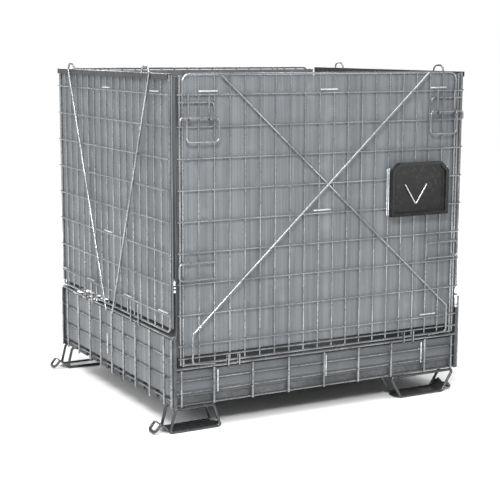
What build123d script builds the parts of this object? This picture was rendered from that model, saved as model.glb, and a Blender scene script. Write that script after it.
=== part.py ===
from build123d import *
import os

os.makedirs("parts", exist_ok=True)

# Collapsible wire mesh container, millimetres, +Z up, standing on z = 0.
# Lengths called "out" are measured outwards from the middle of the box:
# along X for the side walls, along Y for the front gate and the rear wall.

# --- overall sizes ---
side_out = 568.0  # middle of the box to the centre of a side wall's frame wire
end_out = 503.0  # middle of the box to the centre of the gate's frame wire
base_z = 84.0  # underside of the base above the ground
top_row_z = 1087.0  # height of the highest mesh row
gate_top_z = 1149.0  # centre of the gate's top wire
rim_top_z = 1151.0  # top of the side walls' rims
mesh_row = 100.0  # pitch of the mesh rows
mesh_rows = 9

# --- hinge heights ---
front_hinge_z = 209.0
rear_hinge_z = 255.0
left_hinge_z = 314.0
right_hinge_z = 352.0  # higher, so this wall folds down on top of the left one

# --- wire sizes ---
mesh_wire = 5.0
frame_wire = 8.0
edge_wire = 7.0
brace_wire = 7.0
bar_wire = 8.0
row_wire = 6.0
staple_wire = 5.0
foot_wire = 10.0
latch_wire = 7.0
hook_wire = 6.0

# --- sheets and clearances ---
liner_thick = 4.0
sheet_thick = 2.0
touch = 0.05  # gap between wires that are welded where they cross
play = 0.7  # gap between a hinge link and the bar it turns on
fold_gap = 4.0  # gap between neighbouring walls while one folds

# --- widths of the walls ---
gate_half = 553.0  # half width of the gate, inside the side walls
gate_frame_half = 531.0
gate_edge_half = 541.0
gate_columns = 18
liner_behind_frame = 0.5
side_columns = 16

# --- latches, hooks, label holder ---
latch_inner = 412.0  # bail legs, from the middle of the gate
latch_outer = 524.0
latch_z = 1016.0  # bail's pivot bar
latch_drop = 76.0
latch_nose = 26.0
hanger_inner = 444.0
hanger_outer = 516.0
hanger_top_z = 1090.0
guard_inner = 423.0
guard_z = 1063.0
mid_hook_z = 500.0
mid_hook_rise = 55.0
mid_hook_tip = 418.0
label_low_x = 250.0
label_high_x = 489.0
label_low_z = 657.0
label_high_z = 842.0
label_depth = 22.7
label_wall = 4.0
label_floor = 3.0
label_chamfer = 30.0
spring_wire = 4.0
spring_half = 45.0
spring_low_z = 697.0
spring_high_z = 765.0

# --- floor ---
rib_count = 9
rib_pitch = 106.0
rib_width = 80.0
rib_depth = 30.0
floor_thick = 2.5
rail_height = 30.0
post_size = 12.0
low_row_z = 104.0  # lowest bar of the side walls' fixed part

# --- feet ---
sole_length = 190.0
sole_width = 60.0
sole_thick = 4.0
sole_edge_out = 500.0  # outer long edge of a sole, from the middle in Y
sole_rise = 28.0
left_foot_out = 575.0  # where each sole starts to rise, from the middle in X
right_foot_out = 500.0
hoop_reach = 59.0
hoop_low_z = 8.0

# --- staples that hold the liners ---
staple_length = 66.0
low_staple_length = 74.0

# ------------------------------------------------------------------
# worked out from the sizes above
# ------------------------------------------------------------------
mesh_r = mesh_wire / 2
frame_r = frame_wire / 2
edge_r = edge_wire / 2
brace_r = brace_wire / 2
bar_r = bar_wire / 2
row_r = row_wire / 2
staple_r = staple_wire / 2
foot_r = foot_wire / 2
latch_r = latch_wire / 2
hook_r = hook_wire / 2

# layers of the gate and the rear wall, outwards
end_face = end_out + frame_r
end_column_out = end_face - mesh_r
end_row_out = end_face + touch + mesh_r
end_skin = end_row_out + mesh_r + touch
guard_out = end_face + touch + hook_r
hanger_out = guard_out + hook_r + touch + hook_r
pivot_out = hanger_out + hook_r + 0.4 + latch_r
end_liner_out = end_out - frame_r - liner_behind_frame
end_liner_in = end_liner_out - liner_thick

# layers of the side walls, outwards
side_face = side_out + frame_r
side_column_out = side_face - mesh_r
side_row_out = side_face + touch + mesh_r
side_skin = side_row_out + mesh_r + touch
side_liner_out = side_out - frame_r - liner_behind_frame
side_liner_in = side_liner_out - liner_thick
rim_in = side_liner_in - 0.2 - sheet_thick
rim_out = side_skin
rim_height = 18.0
side_half = end_liner_in - fold_gap  # half length of a side wall, between gate and rear wall

# The left hoops stand further out than anything on the right, so the box sits off the origin.
centre_x = (left_foot_out + hoop_reach - side_skin - brace_wire) / 2

rows_z = [top_row_z - mesh_row * n for n in range(mesh_rows)]
column_pitch = 2 * gate_frame_half / (gate_columns + 1)
column_x = [-gate_frame_half + column_pitch * (n + 1) for n in range(gate_columns)]
side_edge_y = side_half - frame_r
side_pitch = 2 * side_edge_y / (side_columns + 1)
column_y = [-side_edge_y + side_pitch * (n + 1) for n in range(side_columns)]

floor_z = base_z + rib_depth
floor_top_z = floor_z + floor_thick
lower_bar_x = [-540, -422, -278, -140, 0, 140, 278, 422, 540]
lower_bar_y = [-500, -443, -328, -210, -105, 0, 105, 210, 328, 443, 500]
end_link_x = [-370, -330, 330, 370]
side_link_y = [-245, -180, 180, 245]
link_r = bar_r + play + staple_r  # centre line of a hinge link round its bar


def save(piece, name):
    piece.part.label = name
    export_step(piece.part, f"parts/{name}.step")


def rod_x(low_x, high_x, y, z, radius):
    with Locations((centre_x + (low_x + high_x) / 2, y, z)):
        Cylinder(radius, high_x - low_x, rotation=(0, 90, 0))


def rod_y(low_y, high_y, x, z, radius):
    with Locations((x, (low_y + high_y) / 2, z)):
        Cylinder(radius, high_y - low_y, rotation=(90, 0, 0))


def rod_z(low_z, high_z, x, y, radius):
    with Locations((x, y, (low_z + high_z) / 2)):
        Cylinder(radius, high_z - low_z)


def block(low, high):
    """A box between two opposite corners."""
    size = [b - a for a, b in zip(low, high)]
    with Locations(tuple((a + b) / 2 for a, b in zip(low, high))):
        Box(*size)


def bent_wire(points, radius, bend):
    """A round wire along straight runs with rounded bends."""
    with BuildLine(mode=Mode.PRIVATE) as route:
        FilletPolyline(*points, radius=bend)
    with BuildSketch(Plane(origin=route.line @ 0, z_dir=route.line % 0), mode=Mode.PRIVATE) as section:
        Circle(radius)
    sweep(sections=section.sketch, path=route.line)


# ------------------------------------------------------------------
# base: floor, rails, posts
# ------------------------------------------------------------------
lower_side_liner_out = side_out - row_wire - touch
lower_side_liner_in = lower_side_liner_out - liner_thick
lower_end_liner_in = end_out - row_wire - 3.0 - liner_thick
rail_in = lower_end_liner_in + liner_thick + touch
rail_out = end_out - row_wire - touch

with BuildPart() as floor_sheet:
    block(
        (centre_x - lower_side_liner_in + touch, -lower_end_liner_in + touch, floor_z + touch),
        (centre_x + lower_side_liner_in - touch, lower_end_liner_in - touch, floor_top_z),
    )
save(floor_sheet, "floor_sheet")

with BuildPart() as floor_ribs:
    for n in range(rib_count):
        rib_y = rib_pitch * (n - (rib_count - 1) / 2)
        with BuildSketch(Plane.YZ.offset(centre_x - lower_side_liner_out)):
            with Locations((rib_y, base_z + rib_depth / 2)):
                Rectangle(rib_width, rib_depth)
            with Locations((rib_y, base_z + rib_depth / 2 + sheet_thick)):
                Rectangle(rib_width - 2 * sheet_thick, rib_depth, mode=Mode.SUBTRACT)
        extrude(amount=2 * lower_side_liner_out)
save(floor_ribs, "floor_ribs")

post_in_x = side_out - post_size
post_in_y = rail_in
with BuildPart() as bottom_rails:
    for side in (-1, 1):
        inner = side * rail_in
        outer = side * rail_out
        block(
            (centre_x - post_in_x + touch, min(inner, outer), base_z),
            (centre_x + post_in_x - touch, max(inner, outer), base_z + rail_height),
        )
save(bottom_rails, "bottom_rails")

with BuildPart() as corner_posts:
    for x_side in (-1, 1):
        for y_side in (-1, 1):
            x = centre_x + x_side * (post_in_x + post_size / 2)
            y = y_side * (post_in_y + post_size / 2)
            with BuildSketch(Plane.XY.offset(base_z)):
                with Locations((x, y)):
                    Rectangle(post_size, post_size)
            extrude(amount=left_hinge_z - bar_wire - base_z)
save(corner_posts, "corner_posts")

# ------------------------------------------------------------------
# base: the fixed low walls, each a mesh of bars and a liner
# ------------------------------------------------------------------
lower_end_reach = post_in_x - touch
end_bar_out = end_out + touch + bar_r
side_bar_out = side_out + touch + bar_r
lower_side_reach = post_in_y - touch

for name, side, hinge_z, rows in (
    ("lower_front", -1, front_hinge_z, 3),
    ("lower_rear", 1, rear_hinge_z, 4),
):
    with BuildPart() as lower_mesh:
        rod_x(-lower_end_reach, lower_end_reach, side * end_out, hinge_z, bar_r)
        row_gap = (hinge_z - base_z - row_r - 0.5) / rows
        for n in range(rows):
            row_z = hinge_z - row_gap * (n + 1)
            rod_x(-lower_end_reach, lower_end_reach, side * (end_out - row_r), row_z, row_r)
        for x in lower_bar_x:
            rod_z(base_z, hinge_z - bar_r - touch, centre_x + x, side * end_bar_out, bar_r)
    save(lower_mesh, f"{name}_mesh")

    with BuildPart() as lower_liner:
        inner = side * lower_end_liner_in
        outer = side * (lower_end_liner_in + liner_thick)
        block(
            (centre_x - lower_side_liner_in + touch, min(inner, outer), floor_z + touch),
            (centre_x + lower_side_liner_in - touch, max(inner, outer), hinge_z - link_r - staple_r - 2),
        )
    save(lower_liner, f"{name}_liner")

for name, side, hinge_z in (
    ("lower_left", -1, left_hinge_z),
    ("lower_right", 1, right_hinge_z),
):
    with BuildPart() as lower_mesh:
        rod_y(-lower_side_reach, lower_side_reach, centre_x + side * side_out, hinge_z, bar_r)
        for n in (1, 2, 3):
            row_x = centre_x + side * (side_out - row_r)
            row_z = hinge_z - (hinge_z - low_row_z) * n / 3
            rod_y(-lower_side_reach, lower_side_reach, row_x, row_z, row_r)
        for y in lower_bar_y:
            bar_x = centre_x + side * side_bar_out
            rod_z(base_z, hinge_z - bar_r - touch, bar_x, y, bar_r)
    save(lower_mesh, f"{name}_mesh")

    with BuildPart() as lower_liner:
        inner = centre_x + side * lower_side_liner_in
        outer = centre_x + side * lower_side_liner_out
        block(
            (min(inner, outer), -rail_in, floor_z + touch),
            (max(inner, outer), rail_in, hinge_z - link_r - staple_r - 2),
        )
    save(lower_liner, f"{name}_liner")

with BuildPart() as lower_staples:
    staple_low_z = base_z + rail_height + 7
    for side in (-1, 1):
        for x in (-408, 8, 408):
            y = side * (end_out + touch + staple_r)
            rod_z(staple_low_z, staple_low_z + low_staple_length, centre_x + x, y, staple_r)
        x = centre_x + side * (side_out + touch + staple_r)
        rod_z(145, 145 + low_staple_length, x, 45, staple_r)
save(lower_staples, "lower_liner_staples")

# ------------------------------------------------------------------
# feet: a sole with a raised outer end, two wires and a hoop
# ------------------------------------------------------------------
for x_name, x_side, rise_x, inner_top_x, outer_top_x in (
    ("left", -1, left_foot_out, 424.0, 561.0),
    ("right", 1, right_foot_out, 278.0, 554.0),
):
    inner_x = rise_x - sole_length
    sole_end_x = rise_x + sole_rise
    for y_name, y_side in (("front", -1), ("rear", 1)):
        with BuildPart() as sole:
            with BuildSketch(Plane.XZ.offset(-y_side * sole_edge_out)):
                with BuildLine():
                    slant = sole_thick * 0.7071
                    Polyline(
                        (centre_x + x_side * inner_x, 0),
                        (centre_x + x_side * rise_x, 0),
                        (centre_x + x_side * sole_end_x, sole_rise),
                        (centre_x + x_side * (sole_end_x - slant), sole_rise + slant),
                        (centre_x + x_side * (rise_x - sole_thick * 0.4142), sole_thick),
                        (centre_x + x_side * inner_x, sole_thick),
                        close=True,
                    )
                make_face()
            extrude(amount=y_side * sole_width)
            inner_end = sole.edges().filter_by(Axis.Z).group_by(Axis.X)[0 if x_side > 0 else -1]
            fillet(inner_end, radius=20)
        save(sole, f"foot_{y_name}_{x_name}_sole")

        with BuildPart() as foot_wires:
            wire_top_z = base_z - foot_r - touch
            for y in (sole_edge_out + foot_r + touch * 4, sole_edge_out - sole_width - foot_r - touch * 4):
                path = [
                    (inner_top_x + 34, wire_top_z),
                    (outer_top_x, wire_top_z),
                    (rise_x + 5, foot_r),
                    (inner_x + 14, foot_r),
                    (inner_top_x, wire_top_z),
                    (inner_top_x + 30, wire_top_z),
                ]
                points = [(centre_x + x_side * px, y_side * y, pz) for px, pz in path]
                bent_wire(points, foot_r, 9.0)
            hoop_start = sole_end_x + foot_r * 0.8
            hoop_start_z = sole_rise + foot_r * 0.8
            hoop_tip = rise_x + hoop_reach - foot_r
            hoop = [
                (hoop_start, sole_edge_out - 6, hoop_start_z),
                (hoop_tip, sole_edge_out - 6, hoop_low_z),
                (hoop_tip, sole_edge_out - sole_width + 6, hoop_low_z),
                (hoop_start, sole_edge_out - sole_width + 6, hoop_start_z),
            ]
            bent_wire([(centre_x + x_side * px, y_side * py, pz) for px, py, pz in hoop], foot_r, 14.0)
        save(foot_wires, f"foot_{y_name}_{x_name}_wires")

# ------------------------------------------------------------------
# front gate and rear wall
# ------------------------------------------------------------------
brace_top_x = 400.0
brace_low_x = 507.0
brace_low_z = 323.0
liner_gap_z = 41.0  # the liner starts this far above the hinge
liner_top_z = gate_top_z - frame_r - 2
bottom_wire_up = 13.0  # frame's bottom wire above the hinge
spare_row_up = 35.0  # the extra row above the bottom wire

for name, side, hinge_z in (("front_gate", -1, front_hinge_z), ("rear_wall", 1, rear_hinge_z)):
    bottom_z = hinge_z + bottom_wire_up
    spare_row_z = hinge_z + spare_row_up
    wall_rows_z = [z for z in rows_z if z > spare_row_z + 30] + [spare_row_z]

    with BuildPart() as frame:
        legs = [
            (-gate_frame_half, bottom_z - frame_r),
            (-gate_frame_half, gate_top_z),
            (gate_frame_half, gate_top_z),
            (gate_frame_half, bottom_z - frame_r),
        ]
        bent_wire([(centre_x + x, side * end_out, z) for x, z in legs], frame_r, 25.0)
        span = gate_frame_half - frame_r - touch
        rod_x(-span, span, side * end_out, bottom_z, frame_r)
    save(frame, f"{name}_frame")

    with BuildPart() as mesh:
        for x in column_x:
            y = side * end_column_out
            rod_z(bottom_z + frame_r + touch, gate_top_z - frame_r - touch, centre_x + x, y, mesh_r)
        for x in (-gate_edge_half, gate_edge_half):
            rod_z(bottom_z, gate_top_z - frame_r, centre_x + x, side * (end_face - edge_r), edge_r)
        for z in wall_rows_z:
            rod_x(-gate_half + 1, gate_half - 1, side * end_row_out, z, mesh_r)
    save(mesh, f"{name}_mesh")

    with BuildPart() as liner:
        inner = side * end_liner_in
        outer = side * end_liner_out
        block(
            (centre_x - gate_half, min(inner, outer), hinge_z + liner_gap_z),
            (centre_x + gate_half, max(inner, outer), liner_top_z),
        )
    save(liner, f"{name}_liner")

    with BuildPart() as strips:
        for x_side in (-1, 1):
            xs = sorted((x_side * (gate_edge_half + edge_r + 0.2), x_side * gate_half))
            ys = sorted((side * (end_liner_out + touch), side * (end_liner_out + 3)))
            block(
                (centre_x + xs[0], ys[0], hinge_z + liner_gap_z),
                (centre_x + xs[1], ys[1], liner_top_z),
            )
    save(strips, f"{name}_seal_strips")

    with BuildPart() as braces:
        for x_side, out in ((1, end_skin + brace_r), (-1, end_skin + brace_r * 3 + touch)):
            path = [
                (-brace_top_x, gate_top_z),
                (brace_low_x, brace_low_z),
                (brace_low_x, hinge_z + 18),
                (brace_low_x - 80, hinge_z + 13),
            ]
            bent_wire([(centre_x + x_side * x, side * out, z) for x, z in path], brace_r, 12.0)
    save(braces, f"{name}_braces")

    with BuildPart() as links:
        for x in end_link_x:
            path = [
                (end_out - link_r, hinge_z + 27),
                (end_out - link_r, hinge_z - link_r),
                (end_out + link_r, hinge_z - link_r),
                (end_out + link_r, hinge_z + 31),
            ]
            bent_wire([(centre_x + x, side * out, z) for out, z in path], staple_r, link_r - 0.01)
    save(links, f"{name}_hinge_links")

    with BuildPart() as staples:
        staple_out = end_skin + staple_r
        top_staple_x = (column_x[0] + column_x[1]) / 2
        low_row = next(z for z in wall_rows_z if z < brace_low_z)
        spots = [(x, rows_z[0]) for x in (top_staple_x, 0, -top_staple_x)]
        spots = spots + [(-22, rows_z[4]), (425, low_row)]
        for x, row_z in spots:
            z = row_z + mesh_r + staple_r + 6
            rod_x(x - staple_length / 2, x + staple_length / 2, side * staple_out, z, staple_r)
    save(staples, f"{name}_liner_staples")

    with BuildPart() as hangers:
        eye_r = pivot_out - hanger_out
        for x_side in (-1, 1):
            guard = [
                (gate_half - hook_r - 1, guard_z),
                (guard_inner, guard_z),
                (guard_inner, guard_z - 20),
            ]
            bent_wire([(centre_x + x_side * x, side * guard_out, z) for x, z in guard], hook_r, 12.0)
            for x in (hanger_inner, hanger_outer):
                path = [
                    (hanger_out, hanger_top_z),
                    (hanger_out, latch_z - eye_r),
                    (pivot_out + eye_r, latch_z - eye_r),
                    (pivot_out + eye_r, latch_z + 4),
                ]
                points = [(centre_x + x_side * x, side * out, z) for out, z in path]
                bent_wire(points, hook_r, eye_r - 0.01)
    save(hangers, f"{name}_latch_hangers")

    for x_name, x_side in (("left", -1), ("right", 1)):
        with BuildPart() as bail:
            nose_x = gate_half - latch_r - 1
            path = [
                (nose_x, latch_z - latch_nose),
                (nose_x, latch_z),
                (latch_inner, latch_z),
                (latch_inner, latch_z - latch_drop),
                (latch_outer, latch_z - latch_drop),
                (latch_outer, latch_z - latch_r - touch),
            ]
            bent_wire([(centre_x + x_side * x, side * pivot_out, z) for x, z in path], latch_r, 12.0)
        save(bail, f"{name}_{x_name}_latch")

# ------------------------------------------------------------------
# fittings on the front gate only
# ------------------------------------------------------------------
with BuildPart() as mid_hooks:
    hook_out = end_skin + hook_r
    for x_side in (-1, 1):
        path = [
            (mid_hook_tip, mid_hook_z + mid_hook_rise),
            (gate_half - hook_r - 1, mid_hook_z + mid_hook_rise),
            (gate_half - hook_r - 1, mid_hook_z),
            (mid_hook_tip, mid_hook_z),
        ]
        bent_wire([(centre_x + x_side * x, -hook_out, z) for x, z in path], hook_r, 14.0)
save(mid_hooks, "front_gate_mid_hooks")

label_back = end_skin + 0.2
with BuildPart() as label_holder:
    with BuildSketch(Plane.XZ.offset(label_back)) as outline:
        with BuildLine():
            Polyline(
                (centre_x + label_low_x, label_low_z),
                (centre_x + label_high_x, label_low_z),
                (centre_x + label_high_x, label_high_z - label_chamfer),
                (centre_x + label_high_x - label_chamfer, label_high_z),
                (centre_x + label_low_x + label_chamfer, label_high_z),
                (centre_x + label_low_x, label_high_z - label_chamfer),
                close=True,
            )
        make_face()
    extrude(amount=label_depth)
    with BuildSketch(Plane.XZ.offset(label_back + label_floor)):
        add(outline.sketch)
        offset(amount=-label_wall, mode=Mode.REPLACE)
    extrude(amount=label_depth, mode=Mode.SUBTRACT)
save(label_holder, "label_holder")

label_mid_x = centre_x + (label_low_x + label_high_x) / 2 - 12
spring_back = label_back + label_floor + 0.1
with BuildPart() as label_spring:
    lift = spring_back + 6
    bent_wire(
        [
            (label_mid_x - spring_half, -spring_back, spring_high_z),
            (label_mid_x - spring_half, -lift, spring_high_z),
            (label_mid_x, -lift, spring_low_z),
            (label_mid_x + spring_half, -lift, spring_high_z),
            (label_mid_x + spring_half, -spring_back, spring_high_z),
        ],
        spring_wire / 2,
        3.0,
    )
save(label_spring, "label_spring")

# ------------------------------------------------------------------
# side walls
# ------------------------------------------------------------------
side_bottom_up = 16.0  # frame's bottom wire above the hinge
side_mesh_top_z = rim_top_z - sheet_thick - 1
for name, side, hinge_z in (("left_wall", -1, left_hinge_z), ("right_wall", 1, right_hinge_z)):
    side_bottom_z = hinge_z + side_bottom_up
    wall_rows_z = [z for z in rows_z if z > side_bottom_z + 15]

    with BuildPart() as frame:
        path = [
            (-side_edge_y, side_mesh_top_z),
            (-side_edge_y, side_bottom_z),
            (side_edge_y, side_bottom_z),
            (side_edge_y, side_mesh_top_z),
        ]
        bent_wire([(centre_x + side * side_out, y, z) for y, z in path], frame_r, 20.0)
    save(frame, f"{name}_frame")

    with BuildPart() as mesh:
        for y in column_y:
            x = centre_x + side * side_column_out
            rod_z(side_bottom_z + frame_r + touch, side_mesh_top_z, x, y, mesh_r)
        for z in wall_rows_z:
            rod_y(-side_half, side_half, centre_x + side * side_row_out, z, mesh_r)
    save(mesh, f"{name}_mesh")

    with BuildPart() as liner:
        inner = centre_x + side * side_liner_in
        outer = centre_x + side * side_liner_out
        block(
            (min(inner, outer), -side_half, side_bottom_z + frame_r + 8),
            (max(inner, outer), side_half, side_mesh_top_z),
        )
    save(liner, f"{name}_liner")

    with BuildPart() as rim:
        with BuildSketch(Plane.XZ.offset(side_half)):
            with Locations((centre_x + side * (rim_in + rim_out) / 2, rim_top_z - rim_height / 2)):
                Rectangle(rim_out - rim_in, rim_height)
            with Locations(
                (centre_x + side * (rim_in + rim_out) / 2, rim_top_z - rim_height / 2 - sheet_thick)
            ):
                Rectangle(rim_out - rim_in - 2 * sheet_thick, rim_height, mode=Mode.SUBTRACT)
        extrude(amount=-2 * side_half)
    save(rim, f"{name}_rim")

    with BuildPart() as braces:
        for y_side in (-1, 1):
            path = [
                (28, hinge_z - 8),
                (372, rim_top_z + 20),
                (314, rim_top_z + 20),
                (304, rim_top_z - 1),
            ]
            x = centre_x + side * (side_skin + brace_r)
            bent_wire([(x, y_side * y, z) for y, z in path], brace_r, 20.0)
    save(braces, f"{name}_braces")

    with BuildPart() as links:
        for y in side_link_y:
            path = [
                (side_out - link_r, side_bottom_z + 8),
                (side_out - link_r, hinge_z - link_r),
                (side_out + link_r, hinge_z - link_r),
                (side_out + link_r, wall_rows_z[-1] - mesh_r - 3),
            ]
            bent_wire([(centre_x + side * out, y, z) for out, z in path], staple_r, link_r - 0.01)
    save(links, f"{name}_hinge_links")

    with BuildPart() as staples:
        x = centre_x + side * (side_skin + staple_r)
        mid_y = (column_y[7] + column_y[8]) / 2
        spots = [(mid_y, 0), (-7 * side_pitch, 0), (mid_y, 5)]
        spots = spots + [(side_pitch * k, -1) for k in (-8, -3, 3, 8)]
        for y, row in spots:
            z = wall_rows_z[row] + mesh_r + staple_r + 4
            rod_y(y - staple_length / 2, y + staple_length / 2, x, z, staple_r)
    save(staples, f"{name}_liner_staples")
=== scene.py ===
import math

import bpy
from mathutils import Matrix, Vector


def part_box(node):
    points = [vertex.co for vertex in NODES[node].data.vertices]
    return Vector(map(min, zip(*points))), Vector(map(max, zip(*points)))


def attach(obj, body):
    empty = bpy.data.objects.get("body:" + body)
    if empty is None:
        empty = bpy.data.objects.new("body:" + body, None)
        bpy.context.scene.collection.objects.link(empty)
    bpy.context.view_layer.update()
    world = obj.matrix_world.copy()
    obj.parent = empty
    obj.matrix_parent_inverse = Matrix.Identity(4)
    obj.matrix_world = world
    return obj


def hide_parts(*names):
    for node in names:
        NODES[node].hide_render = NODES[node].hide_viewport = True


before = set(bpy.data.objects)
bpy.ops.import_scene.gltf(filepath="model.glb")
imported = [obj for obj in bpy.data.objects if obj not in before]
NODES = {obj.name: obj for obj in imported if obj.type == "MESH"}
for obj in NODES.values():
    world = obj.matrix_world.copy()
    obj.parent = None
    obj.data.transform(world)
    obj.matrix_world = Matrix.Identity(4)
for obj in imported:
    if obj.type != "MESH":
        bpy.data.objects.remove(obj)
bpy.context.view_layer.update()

bl_info = {
    "name": "Wire mesh container finish",
    "version": (1, 0, 0),
    "blender": (4, 5, 0),
    "location": "3D View > Sidebar > Container",
    "description": "Finishes, welds, fittings and a plain studio for a folding wire mesh container",
    "category": "Object",
}

MM = 0.001

# the mesh of the upper walls; lengths are in metres
GATE_HALF = 0.531  # middle of the gate to its frame wire
GATE_GAPS = 19  # gaps between the upright wires, front and rear
GATE_CROSSING = 0.5070  # how far out the wires cross, front and rear
SIDE_GAPS = 17
SIDE_EDGE = 4 * MM  # end of a side liner to the middle of the wall's frame wire
SIDE_CROSSING = 0.5720
TOP_ROW = 1.087
ROW_STEP = 0.100
FRONT_ROWS = 9
OTHER_ROWS = 8

# the floor's ribs and the corner posts
RIB_PITCH = 106 * MM
RIB_WIDTH = 80 * MM
RIB_COUNT = 9
POST_X = 0.5623
POST_Y = 0.5000

# the camera's turn, in degrees
CAMERA_YAW = 28.58
CAMERA_PITCH = 9.23
CAMERA_ROLL = 0.21


def span(node, axis):
    low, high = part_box(node)
    return low[axis], high[axis]


def middle(node, axis):
    low, high = span(node, axis)
    return (low + high) / 2


BODY_X = middle("front_gate_liner", 0)


# ----------------------------------------------------------------------
# settings
# ----------------------------------------------------------------------
def colour(name, text, value):
    return bpy.props.FloatVectorProperty(
        name=name, description=text, subtype="COLOR", size=3, min=0, max=1, default=value
    )


def size(name, text, value):
    return bpy.props.FloatProperty(
        name=name, description=text, subtype="DISTANCE", unit="LENGTH", min=0, default=value
    )


class ContainerFinishSettings(bpy.types.PropertyGroup):
    zinc_light: colour(
        "Bright zinc",
        "Zinc plating on the wires where it is clean",
        (0.42, 0.43, 0.44),
    )
    zinc_dark: colour(
        "Dull zinc",
        "Zinc plating on the wires where it is dull",
        (0.055, 0.058, 0.062),
    )
    sheet_light: colour(
        "Sheet zinc",
        "Clean zinc on rims, floor and soles",
        (0.15, 0.155, 0.16),
    )
    sheet_dark: colour(
        "Dull sheet zinc",
        "Stained zinc on rims, floor and soles",
        (0.05, 0.052, 0.055),
    )
    liner_light: colour(
        "Liner",
        "Lit faces of the ribbed liner",
        (0.195, 0.208, 0.218),
    )
    # the liner's darker grain, and the painted shade laid in its flute grooves
    liner_grain_and_groove_shade: colour(
        "Liner grooves",
        "Grooves and grime on the liner",
        (0.058, 0.063, 0.068),
    )
    plastic: colour(
        "Label plastic",
        "Moulded label holder",
        (0.006, 0.006, 0.0065),
    )
    plastic_worn: colour(
        "Worn label plastic",
        "Rubbed edges of the label holder",
        (0.03, 0.03, 0.031),
    )
    rubber: colour(
        "Seal strip",
        "Dark strips down the gate's sides",
        (0.022, 0.023, 0.025),
    )
    flute: size("Flute pitch", "Distance between the liner's flutes", 5.6 * MM)


class ContainerPieceSettings(bpy.types.PropertyGroup):
    bead: size("Weld size", "Radius of a weld where two wires cross", 3.1 * MM)
    tray_lip: size("Tray lip", "Width of the label holder's raised lip", 7 * MM)
    tray_chamfer: size("Tray chamfer", "Cut corners at the label holder's top", 30 * MM)
    ring: size("Ring radius", "Middle radius of a corner post's ring", 6.2 * MM)
    ring_wire: size("Ring wire", "Wire radius of a corner post's ring", 2.2 * MM)


class ContainerStudioSettings(bpy.types.PropertyGroup):
    floor: colour(
        "Floor",
        "Plain pale floor",
        (0.88, 0.88, 0.88),
    )
    lens: bpy.props.FloatProperty(
        name="Lens", description="Focal length in mm", min=10, default=89.8
    )
    camera_place: bpy.props.FloatVectorProperty(
        name="Camera place",
        description="Camera from the point on the floor under the body's middle",
        subtype="TRANSLATION",
        unit="LENGTH",
        size=3,
        default=(-2.210, -4.030, 1.236),
    )


# ----------------------------------------------------------------------
# materials
# ----------------------------------------------------------------------
class Wire:
    """One socket of a node tree; wire + 1, 1 - wire and wire * 2 add Math nodes."""

    def __init__(self, mat, socket):
        self.mat = mat
        self.socket = socket

    def _math(self, operation, first, second):
        return self.mat.add("ShaderNodeMath", {"operation": operation}, {0: first, 1: second})

    def __add__(self, other):
        return self._math("ADD", self, other)

    def __radd__(self, other):
        return self._math("ADD", other, self)

    def __rsub__(self, other):
        return self._math("SUBTRACT", other, self)

    def __mul__(self, other):
        return self._math("MULTIPLY", self, other)

    def __rmul__(self, other):
        return self._math("MULTIPLY", other, self)

    def sin(self):
        return self._math("SINE", self, 0)


class Finish:
    """A material being wired up."""

    def __init__(self, name, **constants):
        self.material = bpy.data.materials.new(name)
        self.material.use_nodes = True
        self.tree = self.material.node_tree
        self.shader = self.tree.nodes["Principled BSDF"]
        for socket, value in constants.items():
            self.shader.inputs[socket.replace("_", " ")].default_value = value
        self.place = self.add("ShaderNodeTexCoord", {}, {}, "Object")

    def add(self, kind, settings, inputs, output=0):
        node = self.tree.nodes.new(kind)
        for name, value in settings.items():
            if name == "stops":
                low, high = node.color_ramp.elements
                low.position, high.position = value
            else:
                setattr(node, name, value)
        for name, value in inputs.items():
            if isinstance(value, Wire):
                self.tree.links.new(value.socket, node.inputs[name])
            else:
                node.inputs[name].default_value = value
        return Wire(self, node.outputs[output])

    def axis(self, name):
        return self.add("ShaderNodeSeparateXYZ", {}, {0: self.place}, name)

    def stretched(self, x, y, z):
        return self.add("ShaderNodeMapping", {}, {"Vector": self.place, "Scale": (x, y, z)})

    def noise(self, scale, detail=3, where=None):
        inputs = {"Vector": where or self.place, "Scale": scale, "Detail": detail}
        return self.add("ShaderNodeTexNoise", {}, inputs, "Fac")

    def cells(self, scale):
        return self.add("ShaderNodeTexVoronoi", {}, {"Vector": self.place, "Scale": scale}, "Color")

    def step(self, value, low, high):
        return self.add("ShaderNodeValToRGB", {"stops": (low, high)}, {0: value})

    def mix(self, factor, first, second):
        first = first if isinstance(first, Wire) else (*first, 1)
        second = second if isinstance(second, Wire) else (*second, 1)
        return self.add("ShaderNodeMix", {"data_type": "RGBA"}, {0: factor, 6: first, 7: second}, 2)

    def feed(self, socket, value):
        self.tree.links.new(value.socket, self.shader.inputs[socket])

    def bump(self, height, depth, strength=1.0):
        inputs = {"Height": height, "Distance": depth, "Strength": strength}
        self.feed("Normal", self.add("ShaderNodeBump", {}, inputs))


def zinc_wire(name="bright zinc wire", shade=1.0):
    look = bpy.context.scene.container_finish
    mat = Finish(name, Metallic=0.85)
    bright = tuple(v * shade for v in look.zinc_light)
    grey = tuple((a * shade + b) / 2 for a, b in zip(look.zinc_light, look.zinc_dark))
    dull = mat.step(mat.noise(9, 4), 0.35, 0.68)
    spots = mat.step(mat.noise(170, 2), 0.52, 0.66)
    # the wires grow darker towards the bottom, mixing up to 0.3 towards the dull zinc, and are
    # clean above about 0.42 m
    darkening = mat.step(mat.axis("Z") + mat.noise(22) * 0.12, 0.08, 0.42)
    clean = mat.mix(dull, bright, grey)
    spotted = mat.mix(spots * 0.55, clean, look.zinc_dark)
    mat.feed("Base Color", mat.mix((1 - darkening) * 0.3, spotted, look.zinc_dark))
    mat.feed("Roughness", 0.2 + dull * 0.14 + spots * 0.2)
    mat.bump(mat.noise(900, 2) + mat.noise(120, 2) * 0.6, 0.00035, 0.5)
    return mat.material


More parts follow.
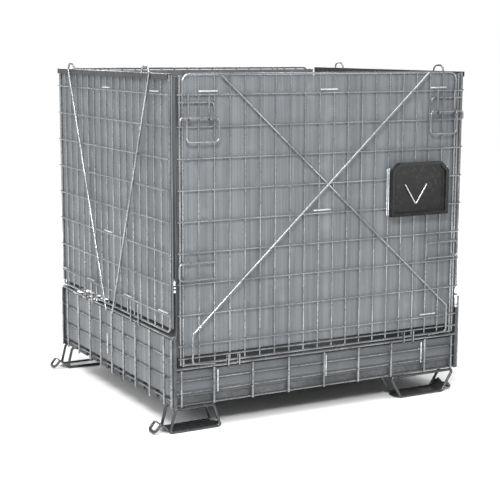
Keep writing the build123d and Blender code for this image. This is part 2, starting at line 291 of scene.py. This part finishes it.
def zinc_sheet():
    look = bpy.context.scene.container_finish
    mat = Finish("dull zinc sheet", Metallic=0.8)
    flakes = mat.add("ShaderNodeSeparateColor", {}, {0: mat.cells(85)}, 0)
    stain = mat.step(mat.noise(7, 5), 0.36, 0.7)
    drawn = mat.noise(40, 3, mat.stretched(1, 12, 1))
    base = mat.mix(flakes * 0.35 + drawn * 0.25, look.sheet_light, look.sheet_dark)
    mat.feed("Base Color", mat.mix(stain * 0.5, base, look.sheet_dark))
    mat.feed("Roughness", 0.34 + stain * 0.2 + flakes * 0.12)
    mat.bump(drawn + flakes * 0.3, 0.0004, 0.35)
    return mat.material


def ribbed_liner(name, along, shade, across_streaks=0.0):
    """Ribbed liner sheet with its flutes spaced along one axis; shade darkens it."""
    look = bpy.context.scene.container_finish
    mat = Finish(name, Metallic=0.0)
    run = mat.axis(along)
    flutes = (run * (2 * math.pi / look.flute)).sin() * 0.5 + 0.5
    scales = {"X": (60, 60, 0.7), "Y": (60, 60, 0.7), "Z": (0.7, 0.7, 60)}[along]
    streaks = mat.noise(1.6, 4, mat.stretched(*scales))
    broad = mat.noise(1.0, 3, mat.stretched(*[v * 0.16 for v in scales]))
    scuffs = mat.step(mat.noise(16, 6), 0.56, 0.72)
    light = tuple(v * shade for v in look.liner_light)
    dark = tuple(v * shade for v in look.liner_grain_and_groove_shade)
    grain = mat.step(streaks * 0.6 + broad * 0.4, 0.36, 0.66)
    colour_a = mat.mix(grain * 0.62, light, dark)
    # painted shade: the colour darkens in the flute grooves, where the flute wave is low
    colour_b = mat.mix((1 - flutes) * 0.28, colour_a, dark)
    mat.feed("Base Color", mat.mix(scuffs * 0.22, colour_b, tuple(min(1, v * 1.5) for v in light)))
    mat.feed("Roughness", 0.42 + grain * 0.16 + scuffs * 0.1)
    mat.bump(flutes + streaks * 0.35 + across_streaks * broad, 0.0006, 0.6)
    return mat.material


def moulded_plastic():
    look = bpy.context.scene.container_finish
    mat = Finish("moulded black plastic", Metallic=0.0)
    grain = mat.noise(1400, 2)
    rubbed = mat.step(mat.noise(26, 6, mat.stretched(1, 1, 4)), 0.52, 0.75)
    dust = mat.step(mat.noise(90, 4), 0.55, 0.8)
    worn = mat.mix(rubbed * 0.6, look.plastic, look.plastic_worn)
    mat.feed("Base Color", mat.mix(dust * 0.25, worn, (0.12, 0.12, 0.12)))
    mat.feed("Roughness", 0.38 + rubbed * 0.22 + grain * 0.1)
    mat.bump(grain + rubbed * 0.4, 0.0003, 0.5)
    return mat.material


def seal_rubber():
    look = bpy.context.scene.container_finish
    mat = Finish("dark seal strip", Metallic=0.0)
    chalk = mat.step(mat.noise(30, 5, mat.stretched(2, 2, 0.3)), 0.45, 0.75)
    mat.feed("Base Color", mat.mix(chalk * 0.5, look.rubber, (0.12, 0.12, 0.125)))
    mat.feed("Roughness", 0.62 + chalk * 0.2)
    mat.bump(mat.noise(500, 2) + chalk * 0.4, 0.0003, 0.5)
    return mat.material


def pale_floor():
    studio = bpy.context.scene.container_studio
    mat = Finish("plain pale floor", Roughness=0.85)
    mat.feed("Base Color", mat.mix(mat.noise(3) * 0.1, studio.floor, (0.8, 0.8, 0.8)))
    return mat.material


MADE = {}


def finish(name):
    """Each finish is wired once and shared."""
    makers = {
        "wire": zinc_wire,
        # painted shade: the feet under the container get the wire zinc darkened to 0.3
        "foot": lambda: zinc_wire("foot wire with painted shade", 0.3),
        # painted light: the clips, staples and label spring get the wire zinc brightened 2.6 times
        "clip": lambda: zinc_wire("clip wire with painted light", 2.6),
        "sheet": zinc_sheet,
        "gate_liner": lambda: ribbed_liner("gate liner", "X", 1.0),
        "side_liner": lambda: ribbed_liner("side liner", "Y", 1.0),
        # painted shade: the lower liners are the liner colours darkened to 0.72
        "low_liner": lambda: ribbed_liner("low liner", "Z", 0.72, 0.5),
        "plastic": moulded_plastic,
        "rubber": seal_rubber,
    }
    if name not in MADE:
        MADE[name] = makers[name]()
    return MADE[name]


def paint(obj, name):
    obj.data.materials.clear()
    obj.data.materials.append(finish(name))


# ----------------------------------------------------------------------
# modelling helpers
# ----------------------------------------------------------------------
def start():
    if bpy.context.object and bpy.context.object.mode != "OBJECT":
        bpy.ops.object.mode_set(mode="OBJECT")
    bpy.ops.object.select_all(action="DESELECT")


def settle():
    bpy.ops.object.transform_apply(location=True, rotation=True, scale=True)


def apply_all(obj):
    bpy.context.view_layer.objects.active = obj
    for modifier in list(obj.modifiers):
        bpy.ops.object.modifier_apply(modifier=modifier.name)


def repeat(obj, count, step):
    array = obj.modifiers.new("repeat", "ARRAY")
    array.use_relative_offset = False
    array.use_constant_offset = True
    array.constant_offset_displace = step
    array.count = count


def select_faces(obj, wanted):
    """In edit mode, selects the faces for which wanted(face) holds."""
    bpy.ops.mesh.select_all(action="DESELECT")
    bpy.ops.object.mode_set(mode="OBJECT")
    for face in obj.data.polygons:
        face.select = wanted(face)
    bpy.ops.object.mode_set(mode="EDIT")


def select_edges(obj, wanted):
    bpy.ops.mesh.select_mode(type="EDGE")
    bpy.ops.mesh.select_all(action="DESELECT")
    bpy.ops.object.mode_set(mode="OBJECT")
    for edge in obj.data.edges:
        ends = [obj.data.vertices[v].co for v in edge.vertices]
        edge.select = wanted(*ends)
    bpy.ops.object.mode_set(mode="EDIT")


def joined(name, objs):
    start()
    for obj in objs:
        obj.select_set(True)
    bpy.context.view_layer.objects.active = objs[0]
    if len(objs) > 1:
        bpy.ops.object.join()
    objs[0].name = name
    bpy.ops.object.shade_smooth_by_angle(angle=math.radians(40))
    return objs[0]


# ----------------------------------------------------------------------
# operators
# ----------------------------------------------------------------------
class CONTAINER_OT_finish_frame(bpy.types.Operator):
    """Gives every part of the container its metal, liner, plastic or rubber finish"""

    bl_idname = "container.finish_frame"
    bl_label = "Finish the parts"

    def execute(self, context):
        for name, obj in NODES.items():
            if name in ("front_gate_liner", "rear_wall_liner"):
                paint(obj, "gate_liner")
            elif name in ("lower_front_liner", "lower_rear_liner"):
                paint(obj, "low_liner")
            elif name.endswith("_liner"):
                paint(obj, "side_liner")
            elif name.endswith(("_rim", "_sole", "_posts", "_rails")) or name.startswith("floor_"):
                paint(obj, "sheet")
            elif name.endswith("_strips"):
                paint(obj, "rubber")
            elif name == "label_holder":
                paint(obj, "plastic")
            elif name.startswith("foot_"):
                paint(obj, "foot")
            elif name.endswith("_staples") or name == "label_spring":
                paint(obj, "clip")
            else:
                paint(obj, "wire")
        return {"FINISHED"}


class CONTAINER_OT_label_tray(bpy.types.Operator):
    """Moulds the dished label holder on the gate"""

    bl_idname = "container.label_tray"
    bl_label = "Label holder"

    def execute(self, context):
        sizes = context.scene.container_piece
        low, high = (Vector(v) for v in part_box("label_holder"))
        start()
        bpy.ops.mesh.primitive_cube_add(size=1, location=(low + high) / 2)
        tray = context.object
        tray.name = "label_tray"
        tray.scale = high - low
        settle()
        bpy.ops.object.mode_set(mode="EDIT")
        near = 1 * MM

        def top_corner(a, b):
            return abs(a.z - b.z) < near and abs(a.x - b.x) < near and a.z > high.z - near

        select_edges(tray, top_corner)
        bpy.ops.mesh.bevel(offset=sizes.tray_chamfer, segments=1)
        bpy.ops.mesh.select_mode(type="FACE")
        select_faces(tray, lambda face: face.normal.y < -0.9)
        bpy.ops.mesh.inset(thickness=sizes.tray_lip)
        bpy.ops.transform.translate(value=(0, 4 * MM, 0))
        bpy.ops.mesh.inset(thickness=3 * MM)
        bpy.ops.mesh.extrude_region_move(TRANSFORM_OT_translate={"value": (0, 13.5 * MM, 0)})
        bpy.ops.mesh.inset(thickness=5 * MM)
        bpy.ops.transform.translate(value=(0, 1.2 * MM, 0))
        bpy.ops.object.mode_set(mode="OBJECT")
        bevel = tray.modifiers.new("soft edges", "BEVEL")
        bevel.width = 1.4 * MM
        bevel.segments = 3
        apply_all(tray)
        bpy.ops.object.shade_smooth_by_angle(angle=math.radians(35))
        paint(tray, "plastic")
        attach(tray, "front_gate")
        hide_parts("label_holder")
        return {"FINISHED"}


class CONTAINER_OT_post_rings(bpy.types.Operator):
    """Adds the small wire ring on top of each corner post"""

    bl_idname = "container.post_rings"
    bl_label = "Corner rings"

    def execute(self, context):
        sizes = context.scene.container_piece
        post_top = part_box("corner_posts")[1][2]
        rings = []
        for x_side in (-1, 1):
            for y_side in (-1, 1):
                start()
                bpy.ops.mesh.primitive_torus_add(
                    major_radius=sizes.ring,
                    minor_radius=sizes.ring_wire,
                    major_segments=28,
                    minor_segments=12,
                    location=(
                        BODY_X + x_side * POST_X,
                        y_side * POST_Y,
                        post_top + sizes.ring * 0.9,
                    ),
                    rotation=(math.radians(90), 0, 0),
                )
                settle()
                rings.append(context.object)
        ring = joined("corner_rings", rings)
        paint(ring, "wire")
        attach(ring, "base")
        return {"FINISHED"}


class CONTAINER_OT_rib_ends(bpy.types.Operator):
    """Closes the ends of the floor's ribs with pressed caps"""

    bl_idname = "container.rib_ends"
    bl_label = "Floor rib ends"

    def execute(self, context):
        low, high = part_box("floor_ribs")
        caps = []
        for x in (low[0] + 1.5 * MM, high[0] - 1.5 * MM):
            start()
            place = (x, -RIB_PITCH * (RIB_COUNT - 1) / 2, (low[2] + high[2]) / 2)
            bpy.ops.mesh.primitive_cube_add(size=1, location=place)
            cap = context.object
            cap.scale = (2.4 * MM, RIB_WIDTH - 4.6 * MM, high[2] - low[2] - 2.6 * MM)
            settle()
            bpy.ops.object.mode_set(mode="EDIT")
            bpy.ops.mesh.select_mode(type="FACE")
            outward = 1 if x > BODY_X else -1
            select_faces(cap, lambda face: face.normal.x * outward > 0.9)
            bpy.ops.mesh.inset(thickness=5 * MM)
            bpy.ops.transform.translate(value=(-outward * 0.9 * MM, 0, 0))
            bpy.ops.object.mode_set(mode="OBJECT")
            bevel = cap.modifiers.new("pressed edges", "BEVEL")
            bevel.width = 0.5 * MM
            bevel.segments = 2
            repeat(cap, RIB_COUNT, (0, RIB_PITCH, 0))
            apply_all(cap)
            caps.append(cap)
        cap = joined("floor_rib_ends", caps)
        paint(cap, "sheet")
        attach(cap, "base")
        return {"FINISHED"}


class CONTAINER_OT_edge_strips(bpy.types.Operator):
    """Adds the dark strips that cover the side walls' upright edges"""

    bl_idname = "container.edge_strips"
    bl_label = "Side wall edge strips"

    def execute(self, context):
        thick = 1.6 * MM
        for wall, side in (("left_wall", -1), ("right_wall", 1)):
            low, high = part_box(wall + "_rim")
            inner = side * (abs((low[0] if side > 0 else high[0]) - BODY_X) + 0.4 * MM)
            outer = side * (abs((high[0] if side > 0 else low[0]) - BODY_X) - 5.6 * MM)
            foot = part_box(wall + "_liner")[0][2]
            strips = []
            for end in (-1, 1):
                y = end * (high[1] - thick / 2)
                start()
                place = (BODY_X + (inner + outer) / 2, y, (foot + low[2]) / 2)
                bpy.ops.mesh.primitive_cube_add(size=1, location=place)
                strip = context.object
                strip.scale = (abs(outer - inner), thick, low[2] - foot - 1 * MM)
                settle()
                bpy.ops.object.mode_set(mode="EDIT")
                bpy.ops.mesh.select_mode(type="FACE")
                select_faces(strip, lambda face: face.normal.y * end > 0.9)
                bpy.ops.mesh.inset(thickness=2.4 * MM)
                bpy.ops.transform.translate(value=(0, -end * 0.7 * MM, 0))
                bpy.ops.object.mode_set(mode="OBJECT")
                bevel = strip.modifiers.new("rolled edges", "BEVEL")
                bevel.width = 0.35 * MM
                bevel.segments = 2
                apply_all(strip)
                strips.append(strip)
            strip = joined(f"{wall}_edge_strips", strips)
            paint(strip, "rubber")
            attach(strip, wall)
        return {"FINISHED"}


class CONTAINER_OT_tray_clips(bpy.types.Operator):
    """Adds the upright wires that hold the label holder to the mesh"""

    bl_idname = "container.tray_clips"
    bl_label = "Label holder clips"

    def execute(self, context):
        low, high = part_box("label_holder")
        back = high[1] - 3.2 * MM
        clips = []
        for x in (low[0] - 3.4 * MM, high[0] + 3.4 * MM, low[0] - 10.4 * MM):
            start()
            bpy.ops.mesh.primitive_cylinder_add(
                vertices=16,
                radius=2 * MM,
                depth=high[2] - low[2] - 24 * MM,
                location=(x, back, (low[2] + high[2]) / 2 - 6 * MM),
            )
            clip = context.object
            bevel = clip.modifiers.new("cut ends", "BEVEL")
            bevel.width = 0.7 * MM
            bevel.segments = 2
            bevel.angle_limit = math.radians(60)
            settle()
            apply_all(clip)
            clips.append(clip)
        clip = joined("label_clips", clips)
        paint(clip, "clip")
        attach(clip, "front_gate")
        return {"FINISHED"}


class CONTAINER_OT_welds(bpy.types.Operator):
    """Adds the flattened weld at each crossing of the mesh wires"""

    bl_idname = "container.welds"
    bl_label = "Mesh welds"

    def bead(self, context, place, flat_axis):
        start()
        radius = context.scene.container_piece.bead
        bpy.ops.mesh.primitive_ico_sphere_add(subdivisions=1, radius=radius, location=place)
        scale = [1.0, 1.0, 1.0]
        scale[flat_axis] = 0.6
        context.object.scale = scale
        settle()
        return context.object

    def field(self, context, name, body, place, columns, column_step, rows, row_step, flat_axis):
        bead = self.bead(context, place, flat_axis)
        repeat(bead, columns, column_step)
        repeat(bead, rows, row_step)
        apply_all(bead)
        weld = joined(name, [bead])
        paint(weld, "wire")
        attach(weld, body)

    def execute(self, context):
        drop = (0, 0, -ROW_STEP)
        pitch = 2 * GATE_HALF / GATE_GAPS
        for wall, side, rows in (("front_gate", -1, FRONT_ROWS), ("rear_wall", 1, OTHER_ROWS)):
            place = (BODY_X - GATE_HALF + pitch, side * GATE_CROSSING, TOP_ROW)
            step = (pitch, 0, 0)
            self.field(
                context, f"{wall}_welds", wall, place, GATE_GAPS - 1, step, rows, drop, 1
            )
        low, high = span("left_wall_liner", 1)
        pitch = (high - low - 2 * SIDE_EDGE) / SIDE_GAPS
        for wall, side in (("left_wall", -1), ("right_wall", 1)):
            place = (BODY_X + side * SIDE_CROSSING, low + SIDE_EDGE + pitch, TOP_ROW)
            step = (0, pitch, 0)
            self.field(
                context, f"{wall}_welds", wall, place, SIDE_GAPS - 1, step, OTHER_ROWS, drop, 0
            )
        return {"FINISHED"}


class CONTAINER_OT_studio(bpy.types.Operator):
    """Sets the plain floor, the soft lights and the camera"""

    bl_idname = "container.studio"
    bl_label = "Studio"

    def light(self, name, place, target, width, power):
        data = bpy.data.lights.new(name, "AREA")
        data.shape = "RECTANGLE"
        data.size = width
        data.size_y = width * 0.8
        data.energy = power
        lamp = bpy.data.objects.new(name, data)
        bpy.context.scene.collection.objects.link(lamp)
        lamp.location = place
        lamp.rotation_mode = "QUATERNION"
        lamp.rotation_quaternion = (Vector(target) - Vector(place)).to_track_quat("-Z", "Y")

    def execute(self, context):
        studio = context.scene.container_studio
        start()
        bpy.ops.mesh.primitive_plane_add(size=40, location=(0, 0, -0.0005))
        floor = context.object
        floor.name = "studio_floor"
        floor.data.materials.append(pale_floor())
        self.light("key", (-2.0, -3.4, 3.0), (-0.3, 0, 0.6), 1.1, 170)
        self.light("fill", (-4.0, 0.5, 2.4), (0, 0, 0.6), 1.8, 60)
        sun = bpy.data.lights.new("overhead", "SUN")
        sun.energy = 2.5
        sun.angle = math.radians(40)
        overhead = bpy.data.objects.new("overhead", sun)
        context.scene.collection.objects.link(overhead)
        overhead.rotation_euler = (math.radians(14), math.radians(-8), 0)
        self.light("back", (1.8, 4.0, 2.6), (0, 0, 0.6), 2.5, 140)
        world = bpy.data.worlds.new("pale studio")
        context.scene.world = world
        world.use_nodes = True
        tree = world.node_tree
        soft = tree.nodes["Background"]
        soft.inputs[0].default_value = (1, 1, 1, 1)
        soft.inputs[1].default_value = 0.42
        backdrop = tree.nodes.new("ShaderNodeBackground")
        backdrop.inputs[0].default_value = (1, 1, 1, 1)
        both = tree.nodes.new("ShaderNodeMixShader")
        path = tree.nodes.new("ShaderNodeLightPath")
        tree.links.new(path.outputs["Is Camera Ray"], both.inputs[0])
        tree.links.new(soft.outputs[0], both.inputs[1])
        tree.links.new(backdrop.outputs[0], both.inputs[2])
        tree.links.new(both.outputs[0], tree.nodes["World Output"].inputs[0])

        data = bpy.data.cameras.new("camera")
        data.sensor_width = 36
        data.lens = studio.lens
        data.clip_end = 100
        camera = bpy.data.objects.new("camera", data)
        context.scene.collection.objects.link(camera)
        yaw = math.radians(CAMERA_YAW)
        pitch = math.radians(CAMERA_PITCH)
        roll = math.radians(CAMERA_ROLL)
        ahead = Vector((
            math.sin(yaw) * math.cos(pitch),
            math.cos(yaw) * math.cos(pitch),
            -math.sin(pitch),
        ))
        right = Vector((math.cos(yaw), -math.sin(yaw), 0))
        up = right.cross(ahead)
        turned_right = right * math.cos(roll) + up * math.sin(roll)
        turned_up = turned_right.cross(ahead)
        turn = Matrix((turned_right, turned_up, -ahead)).transposed()
        camera.rotation_mode = "QUATERNION"
        camera.rotation_quaternion = turn.to_quaternion()
        camera.location = Vector(studio.camera_place) + Vector((BODY_X, 0, 0))
        context.scene.camera = camera
        context.scene.view_settings.view_transform = "Standard"
        return {"FINISHED"}


class CONTAINER_PT_finish(bpy.types.Panel):
    """Lists the container's finishing steps"""

    bl_idname = "CONTAINER_PT_finish"
    bl_label = "Container finish"
    bl_space_type = "VIEW_3D"
    bl_region_type = "UI"
    bl_category = "Container"

    def draw(self, context):
        for operator in OPERATORS:
            self.layout.operator(operator.bl_idname)
        for group in ("container_finish", "container_piece", "container_studio"):
            settings = getattr(context.scene, group)
            column = self.layout.column()
            for name in settings.bl_rna.properties.keys():
                if name not in ("rna_type", "name"):
                    column.prop(settings, name)


OPERATORS = (
    CONTAINER_OT_finish_frame,
    CONTAINER_OT_label_tray,
    CONTAINER_OT_post_rings,
    CONTAINER_OT_rib_ends,
    CONTAINER_OT_edge_strips,
    CONTAINER_OT_tray_clips,
    CONTAINER_OT_welds,
    CONTAINER_OT_studio,
)
GROUPS = {
    "container_finish": ContainerFinishSettings,
    "container_piece": ContainerPieceSettings,
    "container_studio": ContainerStudioSettings,
}


def register():
    for name, group in GROUPS.items():
        bpy.utils.register_class(group)
        setattr(bpy.types.Scene, name, bpy.props.PointerProperty(type=group))
    for operator in OPERATORS:
        bpy.utils.register_class(operator)
    bpy.utils.register_class(CONTAINER_PT_finish)


def unregister():
    bpy.utils.unregister_class(CONTAINER_PT_finish)
    for operator in reversed(OPERATORS):
        bpy.utils.unregister_class(operator)
    for name, group in GROUPS.items():
        delattr(bpy.types.Scene, name)
        bpy.utils.unregister_class(group)


def main():
    register()
    bpy.ops.container.finish_frame()
    bpy.ops.container.label_tray()
    bpy.ops.container.post_rings()
    bpy.ops.container.rib_ends()
    bpy.ops.container.edge_strips()
    bpy.ops.container.tray_clips()
    bpy.ops.container.welds()
    bpy.ops.container.studio()


if __name__ == "__main__":
    main()
